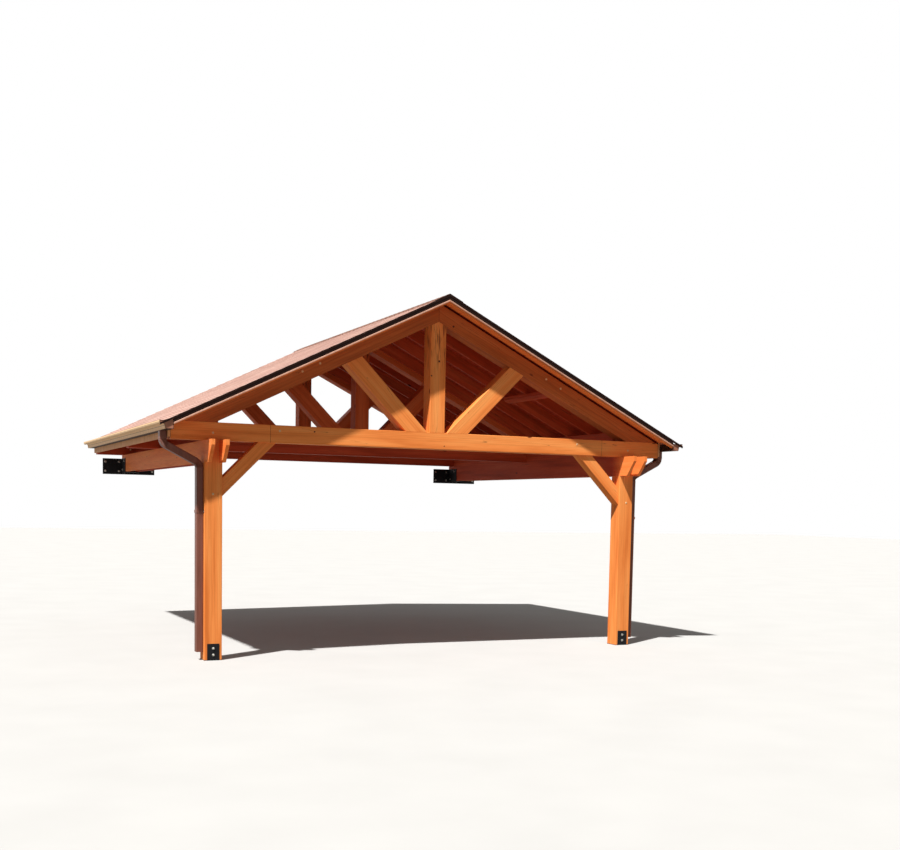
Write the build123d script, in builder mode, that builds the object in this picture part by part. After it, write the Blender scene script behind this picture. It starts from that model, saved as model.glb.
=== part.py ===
# Timber-frame porch canopy: a gabled roof on three king-post trusses. Two posts carry it in front and two
# steel brackets hold its doubled plates on the house wall.
# Millimetres. X runs along the wall, to the right as seen from the garden, Y into the wall and Z up.
# The origin is the centre of the rear tie beam's back face, so Y = 0 is the wall's surface.
# Pieces of one slope are drawn to the right of the ridge, and the left ones are their mirror images.
import os
from math import cos, radians, sqrt, tan

from build123d import *

# Timber sections
TIMBER = 190.0
ARRIS = 4.0
LONG_EDGES = 4
PLANK_T = 38.0
PLATE_H = 235.0
RAFTER_H = 140.0
RAFTER_LIFT = 74.0
VERGE_H = 60.0
RIDGE_BOARD_H = 184.0
BRACE = 140.0
STAY_W = 89.0
FASCIA_T = 25.0
FASCIA_H = 165.0

# Frame layout
POST_CENTRE_X = 2595.0
EAVE_PAST_POST = 360.0
TRUSS_SPACING = 2440.0
HEADROOM = 2350.0
PITCH_DEGREES = 26.0
TIE_CORNER_CUT = 20.0
STRUT_GAP = 30.0
PLATE_TAIL = 300.0
TAIL_NOSE_H = 60.0
TAIL_BEVEL_END = 150.0
BRACE_DROP = 397.0
RAFTERS_BETWEEN = 3
STAY_X = 1580.0
STAY_SPAN = 1140.0

# Roof covering
DECK_T = 18.0
SHINGLE_T = 6.0
ROOF_OVERHANG = 278.0
DECK_PAST_FASCIA = 6.0
SHINGLE_PAST_DECK = 34.0
CAP_W = 150.0
CAP_T = 8.0
TRIM_T = 20.0
TRIM_BELOW_DECK = 45.0

# Gutters and downspouts
GUTTER_W = 144.0
GUTTER_H = 85.0
GUTTER_FLOOR_W = 85.0
GUTTER_LEAN = 6.0
GUTTER_STEP_H = 34.0
GUTTER_LIP_H = 18.0
GUTTER_T = 2.0
GUTTER_BELOW_DECK = 15.0
PIPE_X = 75.0
PIPE_Y = 100.0
PIPE_T = 2.0
PIPE_BEND = 75.0
OUTLET_DROP = 130.0
PIPE_FALL = 200.0
PIPE_FOOT_GAP = 90.0
SEAT_GAP = 0.3
STRAP_T = 2.0
STRAP_H = 30.0
STRAP_EAR = 30.0
STRAP_BELOW_TIE = 770.0

# Wall brackets and post bases
BRACKET_T = 8.0
BRACKET_SIDE_T = 6.0
BRACKET_W = 730.0
BRACKET_H = 225.0
BRACKET_BELOW_TIE = 48.0
BRACKET_REACH = 300.0
LAG_HOLE_R = 7.0
LAG_SPACING_X = 192.0
LAG_SPACING_Z = 132.0
LAG_CENTRE_X = 234.0
BASE_T = 6.0
BASE_EAR_H = 180.0
BASE_EAR_W = 130.0

# Levels and lines that follow from the sizes above
HALF = TIMBER / 2
RISE = tan(radians(PITCH_DEGREES))
SLOPE_COS = cos(radians(PITCH_DEGREES))
TIE_TOP = HALF
TIE_BOTTOM = -HALF
PLATE_BOTTOM = TIE_BOTTOM - PLATE_H
GROUND = TIE_BOTTOM - HEADROOM
POST_IN_X = POST_CENTRE_X - HALF
POST_OUT_X = POST_CENTRE_X + HALF
EAVE_RUN = POST_OUT_X + EAVE_PAST_POST
PEAK = TIE_TOP - TIE_CORNER_CUT + RISE * EAVE_RUN - TIMBER / SLOPE_COS
FRONT = -(2 * TRUSS_SPACING + TIMBER)
TRUSS_STARTS = {"front": FRONT, "middle": FRONT + TRUSS_SPACING, "rear": -TIMBER}
POST_Y = FRONT + HALF
BAY_LENGTH = TRUSS_SPACING - TIMBER
BAYS = [(FRONT + TIMBER, BAY_LENGTH), (-TRUSS_SPACING, BAY_LENGTH)]
RAFTER_TOP = RAFTER_LIFT + RAFTER_H
DECK_TOP = RAFTER_TOP + DECK_T
ROOF_TOP = DECK_TOP + SHINGLE_T
ROOF_FRONT = FRONT - ROOF_OVERHANG
WHOLE_ROOF = [(ROOF_FRONT, -ROOF_FRONT)]
BEHIND_FRONT = [(FRONT, -FRONT)]
FASCIA_FACE = EAVE_RUN + FASCIA_T
DECK_EDGE = FASCIA_FACE + DECK_PAST_FASCIA
SHINGLE_EDGE = DECK_EDGE + SHINGLE_PAST_DECK


def roof_z(x, thickness):
    """Height of the plane that lies a given thickness above the principals' lower edges, at a distance x."""
    return PEAK + thickness / SLOPE_COS - RISE * x


GUTTER_TOP = roof_z(FASCIA_FACE, RAFTER_TOP) - GUTTER_BELOW_DECK
GUTTER_FLOOR = GUTTER_TOP - GUTTER_H
OUTLET_X = FASCIA_FACE + GUTTER_T + PIPE_X / 2
PIPE_CENTRE_X = POST_OUT_X + SEAT_GAP + PIPE_X / 2


def write(part, name):
    part.label = name
    export_step(part, f"parts/{name}.step")


def write_pair(part, name):
    """The right-hand piece and its mirror image, as one node each."""
    write(part, f"{name}_right")
    with BuildPart() as twin:
        mirror(part, about=Plane.YZ)
    write(twin.part, f"{name}_left")


def both_sides(*parts):
    """The right-hand pieces and their mirror images, in one node."""
    with BuildPart() as pair:
        add(parts)
        mirror(about=Plane.YZ)
    return pair.part


def carried(outline, stretches):
    """A part whose outline, drawn in X and Z, is carried along Y over each stretch (start, length)."""
    with BuildPart() as piece:
        for start, length in stretches:
            with BuildSketch(Plane.XZ.offset(-start)):
                with BuildLine():
                    Polyline(*outline, close=True)
                make_face()
            extrude(amount=-length)
    return piece.part


def eased(outline, start, length):
    """The same over a single stretch, with the arrises of its four longest edges planed off."""
    with BuildPart() as piece:
        add(carried(outline, [(start, length)]))
        chamfer(piece.edges().sort_by(SortBy.LENGTH)[-LONG_EDGES:], ARRIS)
    return piece.part


def sloping(near, far, low, high):
    """Outline of what lies along the slope between two distances and two thicknesses, with plumb ends."""
    below = [(near, roof_z(near, low)), (far, roof_z(far, low))]
    return below + [(far, roof_z(far, high)), (near, roof_z(near, high))]


def tie_beam(start):
    """The bottom beam of a truss: its two top corners are cut to the slope of the roof."""
    corner_z = TIE_TOP - TIE_CORNER_CUT
    corner_x = EAVE_RUN - TIE_CORNER_CUT / RISE
    end = [(EAVE_RUN, TIE_BOTTOM), (EAVE_RUN, corner_z), (corner_x, TIE_TOP)]
    return eased(end + [(-x, z) for x, z in reversed(end)], start, TIMBER)


def king_post(start):
    """The middle post of a truss, with a peaked head under the two principals."""
    shoulder_z = roof_z(HALF, 0)
    outline = [(-HALF, TIE_TOP), (HALF, TIE_TOP), (HALF, shoulder_z), (0, PEAK), (-HALF, shoulder_z)]
    return eased(outline, start, TIMBER)


def principal(start):
    """A sloping top timber: plumb joint at the ridge and a level seat on the tie beam."""
    toe = EAVE_RUN - TIE_CORNER_CUT / RISE
    heel = (PEAK - TIE_TOP) / RISE
    outline = [(0, PEAK), (heel, TIE_TOP), (toe, TIE_TOP), (0, roof_z(0, TIMBER))]
    return eased(outline, start, TIMBER)


def strut(start):
    """A 45 degree timber from the tie beam beside the king post up to the principal."""
    near = HALF + STRUT_GAP
    far = near + TIMBER * sqrt(2)
    near_top, far_top = [(PEAK - TIE_TOP + x) / (1 + RISE) for x in (near, far)]
    outline = [(near, TIE_TOP), (far, TIE_TOP)]
    outline += [(x, roof_z(x, 0)) for x in (far_top, near_top)]
    return eased(outline, start, TIMBER)


def knee_brace():
    """A 45 degree brace from the tie beam down to the inner face of the post."""
    low = BRACE_DROP + BRACE * sqrt(2)
    outline = [
        (POST_IN_X - BRACE_DROP, TIE_BOTTOM),
        (POST_IN_X, TIE_BOTTOM - BRACE_DROP),
        (POST_IN_X, TIE_BOTTOM - low),
        (POST_IN_X - low, TIE_BOTTOM),
    ]
    return eased(outline, POST_Y - BRACE / 2, BRACE)


def post():
    """A square post whose top is cut in on both sides, so that a tongue stands between the plate planks."""
    with BuildPart() as piece:
        with BuildSketch(Plane.XY.offset(GROUND + BASE_T)):
            with Locations((POST_CENTRE_X, POST_Y)):
                Rectangle(TIMBER, TIMBER)
        extrude(amount=PLATE_BOTTOM - GROUND - BASE_T)
        chamfer(piece.edges().filter_by(Axis.Z), ARRIS)
        with BuildSketch(Plane.XY.offset(PLATE_BOTTOM)):
            with Locations((POST_CENTRE_X, POST_Y)):
                Rectangle(TIMBER - 2 * PLANK_T, TIMBER)
        extrude(amount=PLATE_H)
    return piece.part


def plates():
    """The doubled plate: two planks from the wall bracket out past the post, with bevelled tails."""
    outline = [
        (-BRACKET_T, TIE_BOTTOM),
        (FRONT - PLATE_TAIL, TIE_BOTTOM),
        (FRONT - PLATE_TAIL, TIE_BOTTOM - TAIL_NOSE_H),
        (FRONT - TAIL_BEVEL_END, PLATE_BOTTOM),
        (-BRACKET_T, PLATE_BOTTOM),
    ]
    with BuildPart() as piece:
        for inner_x in (POST_IN_X, POST_OUT_X - PLANK_T):
            with BuildSketch(Plane.YZ.offset(inner_x)):
                with BuildLine():
                    Polyline(*outline, close=True)
                make_face()
            extrude(amount=PLANK_T)
    return piece.part


def ridge_board():
    """A board on edge between the trusses, with its top cut to both slopes."""
    half = PLANK_T / 2
    top = roof_z(0, RAFTER_TOP)
    side_z = roof_z(half, RAFTER_TOP)
    bottom = top - RIDGE_BOARD_H
    return carried([(-half, bottom), (half, bottom), (half, side_z), (0, top), (-half, side_z)], BAYS)


def rafters():
    """Rafters against each truss and evenly between them, and the low verge rafter in front."""
    step = (BAY_LENGTH - PLANK_T) / (RAFTERS_BETWEEN + 1)
    starts = [start + step * i for start, _ in BAYS for i in range(RAFTERS_BETWEEN + 2)]
    common_outline = sloping(PLANK_T / 2, EAVE_RUN, RAFTER_LIFT, RAFTER_TOP)
    verge_outline = sloping(0, FASCIA_FACE, RAFTER_TOP - VERGE_H, RAFTER_TOP)
    with BuildPart() as piece:
        add(carried(common_outline, [(start, PLANK_T) for start in starts]))
        add(carried(verge_outline, [(ROOF_FRONT, PLANK_T)]))
    return piece.part


def eave_boards():
    """Boards on edge on the inner plate plank, between the trusses, cut to the slope under the rafters."""
    far = POST_IN_X + PLANK_T
    under_near = (POST_IN_X, roof_z(POST_IN_X, RAFTER_LIFT))
    under_far = (far, roof_z(far, RAFTER_LIFT))
    return carried([(POST_IN_X, TIE_BOTTOM), (far, TIE_BOTTOM), under_far, under_near], BAYS)


def stay_board():
    """A short flat board under the right-hand rafters, from the front truss back to the second rafter."""
    half_run = STAY_W / 2 * SLOPE_COS
    outline = sloping(STAY_X - half_run, STAY_X + half_run, RAFTER_LIFT - PLANK_T, RAFTER_LIFT)
    return carried(outline, [(FRONT + TIMBER, STAY_SPAN)])


def ridge_cap():
    """A folded strip over the ridge."""
    edge = sloping(0, CAP_W * SLOPE_COS, ROOF_TOP, ROOF_TOP + CAP_T)
    return carried(edge + [(-x, z) for x, z in reversed(edge[1:3])], WHOLE_ROOF)


def rake_trim():
    """The thin board along the sloping edge in front; only its top runs on over the gutter."""
    low = RAFTER_TOP - TRIM_BELOW_DECK
    outline = [
        (0, roof_z(0, low)),
        (FASCIA_FACE, roof_z(FASCIA_FACE, low)),
        (FASCIA_FACE, GUTTER_TOP),
        (SHINGLE_EDGE, GUTTER_TOP),
        (SHINGLE_EDGE, roof_z(SHINGLE_EDGE, ROOF_TOP)),
        (0, roof_z(0, ROOF_TOP)),
    ]
    return carried(outline, [(ROOF_FRONT - TRIM_T, TRIM_T)])


def fascia():
    """The eave board that closes the rafter tails and carries the gutter, its top bevelled to the slope."""
    bottom = roof_z(FASCIA_FACE, RAFTER_TOP) - FASCIA_H
    top_in = (EAVE_RUN, roof_z(EAVE_RUN, RAFTER_TOP))
    top_out = (FASCIA_FACE, roof_z(FASCIA_FACE, RAFTER_TOP))
    return carried([(EAVE_RUN, bottom), (FASCIA_FACE, bottom), top_out, top_in], BEHIND_FRONT)


def gutter():
    """A thin trough with an ogee front, end caps and an outlet hole over the downspout."""
    floor_end = FASCIA_FACE + GUTTER_FLOOR_W
    lip_x = FASCIA_FACE + GUTTER_W
    lip_z = GUTTER_TOP - GUTTER_LIP_H
    ogee_start = (floor_end + GUTTER_LEAN, GUTTER_FLOOR + GUTTER_STEP_H)
    ogee_middle = ((ogee_start[0] + lip_x) / 2, (ogee_start[1] + lip_z) / 2)
    with BuildPart() as piece:
        with BuildSketch(Plane.XZ.offset(-ROOF_FRONT)):
            with BuildLine():
                Polyline(
                    (lip_x, lip_z),
                    (lip_x, GUTTER_TOP),
                    (FASCIA_FACE, GUTTER_TOP),
                    (FASCIA_FACE, GUTTER_FLOOR),
                    (floor_end, GUTTER_FLOOR),
                    ogee_start,
                )
                hollow_arc = TangentArc(ogee_start, ogee_middle, tangent=(0, 1))
                TangentArc(ogee_middle, (lip_x, lip_z), tangent=hollow_arc % 1)
            make_face()
        extrude(amount=ROOF_FRONT)
        offset(amount=-GUTTER_T, openings=piece.faces().sort_by(Axis.Z)[-1])
        with BuildSketch(Plane.XY.offset(GUTTER_FLOOR)):
            with Locations((OUTLET_X, POST_Y)):
                Rectangle(PIPE_X - 2 * PIPE_T, PIPE_Y - 2 * PIPE_T)
        extrude(amount=GUTTER_T, mode=Mode.SUBTRACT)
    return piece.part


def downspout_runs():
    """Lengths of rectangular pipe from the gutter down: drop, elbow, offset, elbow and leader."""
    bend_z = GUTTER_FLOOR - OUTLET_DROP
    corners = [
        (OUTLET_X, POST_Y, GUTTER_FLOOR),
        (OUTLET_X, POST_Y, bend_z),
        (PIPE_CENTRE_X, POST_Y, bend_z - PIPE_FALL),
        (PIPE_CENTRE_X, POST_Y, GROUND + PIPE_FOOT_GAP),
    ]
    with BuildLine() as route:
        FilletPolyline(*corners, radius=PIPE_BEND)
    runs = []
    for edge in route.edges().sort_by(Axis.Z, reverse=True):
        with BuildPart() as run:
            with BuildSketch(Plane(origin=edge @ 0, x_dir=(0, 1, 0), z_dir=edge % 0)):
                Rectangle(PIPE_Y, PIPE_X)
                Rectangle(PIPE_Y - 2 * PIPE_T, PIPE_X - 2 * PIPE_T, mode=Mode.SUBTRACT)
            sweep(path=edge)
        runs.append(run.part)
    return runs


def downspout_strap():
    """A flat band round the downspout, with an ear on the post on each side of the pipe."""
    reach = PIPE_X + 2 * SEAT_GAP
    half = PIPE_Y / 2 + SEAT_GAP
    from_post = (Align.MIN, Align.CENTER)
    with BuildPart() as piece:
        with BuildSketch(Plane.XY.offset(TIE_BOTTOM - STRAP_BELOW_TIE)):
            with Locations((POST_OUT_X, POST_Y)):
                Rectangle(reach + STRAP_T, 2 * (half + STRAP_T), align=from_post)
                Rectangle(STRAP_T, 2 * (half + STRAP_EAR), align=from_post)
                Rectangle(reach, 2 * half, align=from_post, mode=Mode.SUBTRACT)
        extrude(amount=STRAP_H)
    return piece.part


def wall_bracket():
    """A steel plate on the wall with a welded saddle for the two plate planks and eight lag holes."""
    middle = TIE_BOTTOM - BRACKET_BELOW_TIE - BRACKET_H / 2
    side_x = HALF + BRACKET_SIDE_T / 2
    with BuildPart() as piece:
        with Locations((POST_CENTRE_X, -BRACKET_T / 2, middle)):
            Box(BRACKET_W, BRACKET_T, BRACKET_H)
        with Locations((POST_CENTRE_X, -BRACKET_T, middle)):
            with Locations((-side_x, 0, 0), (side_x, 0, 0)):
                Box(BRACKET_SIDE_T, BRACKET_REACH, BRACKET_H, align=(Align.CENTER, Align.MAX, Align.CENTER))
        with Locations((POST_CENTRE_X, -BRACKET_T, PLATE_BOTTOM)):
            Box(TIMBER, BRACKET_REACH, BRACKET_T, align=(Align.CENTER, Align.MAX, Align.MAX))
        with BuildSketch(Plane.XZ.offset(BRACKET_T)):
            with Locations((POST_CENTRE_X - LAG_CENTRE_X, middle), (POST_CENTRE_X + LAG_CENTRE_X, middle)):
                with GridLocations(LAG_SPACING_X, LAG_SPACING_Z, 2, 2):
                    Circle(LAG_HOLE_R)
        extrude(amount=-BRACKET_T, mode=Mode.SUBTRACT)
    return piece.part


def post_base():
    """A steel shoe: a plate under the post and two ears up its sides."""
    ear_y = HALF + BASE_T / 2
    with BuildPart() as piece:
        with Locations((POST_CENTRE_X, POST_Y, GROUND)):
            Box(TIMBER, TIMBER, BASE_T, align=(Align.CENTER, Align.CENTER, Align.MIN))
            with Locations((0, -ear_y, 0), (0, ear_y, 0)):
                Box(BASE_EAR_W, BASE_T, BASE_EAR_H, align=(Align.CENTER, Align.CENTER, Align.MIN))
    return piece.part


os.makedirs("parts", exist_ok=True)

for place, truss_start in TRUSS_STARTS.items():
    write(tie_beam(truss_start), f"tie_{place}")
    write(king_post(truss_start), f"king_post_{place}")
    write(both_sides(strut(truss_start)), f"struts_{place}")
    write_pair(principal(truss_start), f"principal_{place}")

write_pair(post(), "post")
write(both_sides(post_base()), "post_bases")
write(both_sides(knee_brace()), "knee_braces")
write_pair(plates(), "plates")
write_pair(wall_bracket(), "wall_bracket")

write(ridge_board(), "ridge_board")
write_pair(rafters(), "rafters")
write(both_sides(eave_boards()), "eave_boards")
write(stay_board(), "stay_board")

write_pair(carried(sloping(0, DECK_EDGE, RAFTER_TOP, DECK_TOP), WHOLE_ROOF), "deck")
write_pair(carried(sloping(0, SHINGLE_EDGE, DECK_TOP, ROOF_TOP), WHOLE_ROOF), "shingles")
write(ridge_cap(), "ridge_cap")
write_pair(rake_trim(), "rake_trim")

write_pair(fascia(), "fascia")
write_pair(gutter(), "gutter")
drop, upper_elbow, pipe_offset, lower_elbow, leader = downspout_runs()
write(both_sides(drop), "downspout_outlets")
write(both_sides(upper_elbow, lower_elbow), "downspout_elbows")
write(both_sides(pipe_offset), "downspout_offsets")
write_pair(leader, "downspout")
write(both_sides(downspout_strap()), "downspout_straps")
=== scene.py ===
# Looks of the porch canopy: stained timbers, boarding, shingles, sheet metal, steel and small fasteners.
# Metres. X runs along the wall, to the right as seen from the garden, Y into the wall and Z up.
from math import atan2, cos, pi, radians, sin, sqrt, tan

import bmesh
import bpy
import numpy as np
from mathutils import Matrix, Vector


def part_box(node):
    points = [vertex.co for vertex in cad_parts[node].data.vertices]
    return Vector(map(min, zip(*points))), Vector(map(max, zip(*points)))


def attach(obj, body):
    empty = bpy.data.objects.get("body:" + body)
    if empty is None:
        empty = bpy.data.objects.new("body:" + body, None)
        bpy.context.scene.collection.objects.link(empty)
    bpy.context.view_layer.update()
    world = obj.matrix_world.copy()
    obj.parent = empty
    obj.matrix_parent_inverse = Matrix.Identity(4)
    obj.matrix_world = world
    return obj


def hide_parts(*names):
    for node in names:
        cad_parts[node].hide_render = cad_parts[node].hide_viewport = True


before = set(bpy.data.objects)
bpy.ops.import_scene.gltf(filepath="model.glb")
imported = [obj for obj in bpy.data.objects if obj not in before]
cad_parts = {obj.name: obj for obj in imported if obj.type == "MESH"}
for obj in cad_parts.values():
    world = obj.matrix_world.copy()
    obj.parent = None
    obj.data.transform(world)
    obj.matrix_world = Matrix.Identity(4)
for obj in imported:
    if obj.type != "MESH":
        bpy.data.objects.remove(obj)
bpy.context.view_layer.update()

MM = 0.001
SIDES = {"left": -1, "right": 1}
TRUSSES = ("front", "middle", "rear")

# Sizes read from the frame
tie_low, tie_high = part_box("tie_front")
_, king_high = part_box("king_post_front")
_, principal_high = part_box("principal_front_right")
post_low, post_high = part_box("post_right")
plate_low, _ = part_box("plates_right")
_, deck_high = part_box("deck_right")
shingle_low, shingle_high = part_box("shingles_right")
trim_low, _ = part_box("rake_trim_right")
fascia_low, fascia_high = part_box("fascia_right")
gutter_low, gutter_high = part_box("gutter_right")
_, outlet_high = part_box("downspout_outlets")
leader_low, leader_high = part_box("downspout_right")
bracket_low, bracket_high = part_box("wall_bracket_right")
base_low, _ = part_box("post_bases")
strap_low, strap_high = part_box("downspout_straps")

TIMBER = tie_high.z - tie_low.z
HALF = TIMBER / 2
DECK_T = 18 * MM
SHINGLE_T = 6 * MM
PITCH = radians(26)
SLOPE = tan(PITCH)
SLOPE_COS = cos(PITCH)
SLOPE_SIN = sin(PITCH)
RIDGE_TOP = shingle_high.z
ROOF_FRONT = shingle_low.y
ROOF_LENGTH = -ROOF_FRONT
EAVE_LENGTH = shingle_high.x / SLOPE_COS
POST_X = (post_low.x + post_high.x) / 2
POST_Y = (post_low.y + post_high.y) / 2
GROUND = base_low.z
rng = np.random.default_rng(7)


# Materials


def linear(hex_colour):
    """An sRGB hex colour as linear RGBA."""
    channels = np.array([int(hex_colour[i : i + 2], 16) for i in (1, 3, 5)]) / 255
    values = np.where(channels <= 0.04045, channels / 12.92, ((channels + 0.055) / 1.055) ** 2.4)
    return (*values, 1.0)


def feed(material, made, values=(), **sockets):
    """Gives a node's sockets, in turn or by name, a value each or a link from another node's output."""
    in_turn = zip([socket for socket in made.inputs if socket.enabled], values)
    by_name = [(made.inputs[name.replace("_", " ")], value) for name, value in sockets.items()]
    for socket, value in [*in_turn, *by_name]:
        if isinstance(value, bpy.types.NodeSocket):
            material.node_tree.links.new(value, socket)
        else:
            socket.default_value = value


def node(material, kind, *values, out=None, stops=(), **named):
    """Adds a node to a material or the world and returns its output `out`, or else its first one.
    `values` go to its sockets in turn. Of `named`, what is in small letters sets the node's own
    properties, and the rest its sockets by name. `stops` are the positions and hex colours of a colour
    ramp."""
    made = material.node_tree.nodes.new("ShaderNode" + kind)
    for name in filter(str.islower, named):
        setattr(made, name, named[name])
    stops = list(stops)
    for _ in stops[2:]:
        made.color_ramp.elements.new(0.5)
    for i, (position, colour) in enumerate(stops):
        made.color_ramp.elements[i].position = position
        made.color_ramp.elements[i].color = linear(colour)
    sockets = {name: value for name, value in named.items() if not name.islower()}
    feed(material, made, values, **sockets)
    if out:
        return made.outputs[out]
    return next(output for output in made.outputs if output.enabled)


def new_material(name):
    """An empty material, its shader, and the place of each point on the object."""
    material = bpy.data.materials.new(name)
    material.use_nodes = True
    place = node(material, "TexCoord", out="Object")
    return material, material.node_tree.nodes["Principled BSDF"], place


def drawn_out_noise(material, place, stretch, scale, detail, roughness=0.5):
    """Noise that is drawn out along the axes whose factor in `stretch` is small."""
    long_way = node(material, "Mapping", place, Scale=stretch)
    return node(material, "TexNoise", long_way, Scale=scale, Detail=detail, Roughness=roughness)


def along_grain(material, place, turn, heart, side_shift):
    """Coordinates of a timber, with X along the grain and the pith at the origin: `turn` turns X onto the
    grain and `heart` is a point of the pith. With a `side_shift`, X is first read without its sign, so
    that a member and its mirror image beyond the ridge share one direction, and the two are moved apart
    along the grain, so that they don't share one figure."""
    if not side_shift:
        return node(material, "Mapping", place, vector_type="TEXTURE", Location=heart, Rotation=turn)
    parts = node(material, "SeparateXYZ", place).node.outputs
    across = node(material, "Math", parts["X"], operation="ABSOLUTE")
    folded = node(material, "CombineXYZ", across, parts["Y"], parts["Z"])
    local = node(material, "Mapping", folded, vector_type="TEXTURE", Location=heart, Rotation=turn)
    side = node(material, "Math", parts["X"], operation="SIGN")
    shift = node(material, "Math", side, side_shift, operation="MULTIPLY")
    return node(material, "VectorMath", local, node(material, "CombineXYZ", shift), operation="ADD")


def stain_body(material, place, blotches, stain, outer, outer_from):
    """The stain where it soaked in more and less. What stands in front of the front truss, or further
    than `outer_from` from the ridge, has the colours `outer`, if they are given, which are painted light."""
    body = node(material, "ValToRGB", blotches, stops=zip(BLOTCH_LEVELS, stain))
    if not outer:
        return body
    paler = node(material, "ValToRGB", blotches, stops=zip(BLOTCH_LEVELS, outer))
    parts = node(material, "SeparateXYZ", place).node.outputs
    outside = node(material, "MapRange", parts["Y"], From_Min=tie_high.y, From_Max=tie_low.y)
    if outer_from:
        across = node(material, "Math", parts["X"], operation="ABSOLUTE")
        aside = node(material, "Math", across, outer_from, operation="GREATER_THAN")
        outside = node(material, "Math", outside, aside, operation="MAXIMUM")
    return node(material, "Mix", outside, body, paler, data_type="RGBA")


def late_wood(material, long_way):
    """How far a point lies in the dark outer part of its growth ring: saw-toothed rings about the pith,
    bent by noise that is drawn out along the grain."""
    wander = node(material, "TexNoise", long_way, out="Color", Scale=6.0, Detail=2.0)
    bent = node(material, "Mix", 0.035, long_way, wander, data_type="VECTOR")
    rings = node(material, "TexWave", bent, out="Fac", wave_type="RINGS", rings_direction="X",
                 wave_profile="SAW", Scale=WAVE_PERIOD / RING_W, Distortion=1.6, Detail=2.0,
                 Detail_Scale=1.5)
    return node(material, "MapRange", rings, From_Min=0.55, From_Max=1.0, To_Max=0.32)


def drying_checks(material, local, blotches, worn_from):
    """Thin dark splits along the grain: the lines where a drawn-out noise crosses CHECK_LEVEL, inside the
    blotches. Beyond `worn_from` along the grain, dark streaks stand close together as well."""
    field = drawn_out_noise(material, local, (0.045, 1.0, 1.0), 17.0, 1.5)
    above = node(material, "Math", field, CHECK_LEVEL, operation="SUBTRACT")
    off = node(material, "Math", above, operation="ABSOLUTE")
    lines = node(material, "MapRange", off, From_Max=0.006, To_Min=0.75, To_Max=0.0)
    where = node(material, "MapRange", blotches, From_Min=0.52, From_Max=0.6)
    checks = node(material, "Math", lines, where, operation="MULTIPLY")
    if not worn_from:
        return checks
    along = node(material, "SeparateXYZ", local, out="X")
    worn = node(material, "MapRange", along, From_Min=worn_from, From_Max=worn_from + 0.4)
    streak_field = drawn_out_noise(material, local, (0.09, 1.0, 1.0), 55.0, 2.0)
    streaks = node(material, "MapRange", streak_field, From_Min=0.5, From_Max=0.62, To_Max=0.75)
    worn_streaks = node(material, "Math", worn, streaks, operation="MULTIPLY")
    return node(material, "Math", checks, worn_streaks, operation="MAXIMUM")


def stained_timber(name, turn, heart, stain, side_shift=None, outer=None, outer_from=None, edge=None,
                   worn_from=None):
    """Sawn softwood under a semi-transparent cedar stain: the eye sees growth rings cut into long flames
    along the member, dark latewood lines, a few knots, drying checks, and blotches where the stain soaked
    in deeper. Real rings are 3 to 5 mm wide and are drawn about RING_W wide, so that they show. The arris
    lower than `edge` under the pith is pale: a painted highlight."""
    material, shader, place = new_material(name)
    local = along_grain(material, place, turn, heart, side_shift)
    long_way = node(material, "Mapping", local, Scale=(0.07, 1.0, 1.0))
    blotches = node(material, "TexNoise", long_way, Scale=9.0, Detail=4.0, Roughness=0.6)
    fibres = drawn_out_noise(material, local, (0.018, 1.0, 1.0), 260.0, 5.0, 0.65)
    late = late_wood(material, long_way)
    fine = node(material, "MapRange", fibres, From_Min=0.5, From_Max=0.78, To_Max=0.4)
    knot_place = node(material, "Mapping", local, Scale=(1.1, 2.6, 2.6))
    knot_field = node(material, "TexVoronoi", knot_place, Scale=1.7, Randomness=1.0)
    knots = node(material, "MapRange", knot_field, From_Min=0.075, From_Max=0.03)
    checks = drying_checks(material, local, blotches, worn_from)
    tint = stain_body(material, place, blotches, stain, outer, outer_from)
    latewood, dark = stain[3:]
    for amount, colour in ((late, latewood), (fine, latewood), (knots, dark), (checks, dark)):
        tint = node(material, "Mix", amount, tint, linear(colour), data_type="RGBA")
    # Painted highlight: the arris below the depth `edge` is pale
    if edge:
        height = node(material, "SeparateXYZ", local, out="Z")
        low = node(material, "Math", height, -edge, operation="LESS_THAN")
        tint = node(material, "Mix", low, tint, linear(PAINTED_ARRIS_HIGHLIGHT), data_type="RGBA")
    dullness = node(material, "MapRange", fibres, To_Min=0.48, To_Max=0.66)
    relief = node(material, "Math", late, -0.6, fibres, operation="MULTIPLY_ADD")
    bump = node(material, "Bump", Strength=0.35, Distance=1.5 * MM, Height=relief)
    feed(material, shader, Base_Color=tint, Specular_IOR_Level=0.15, Roughness=dullness, Normal=bump)
    return material


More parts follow.
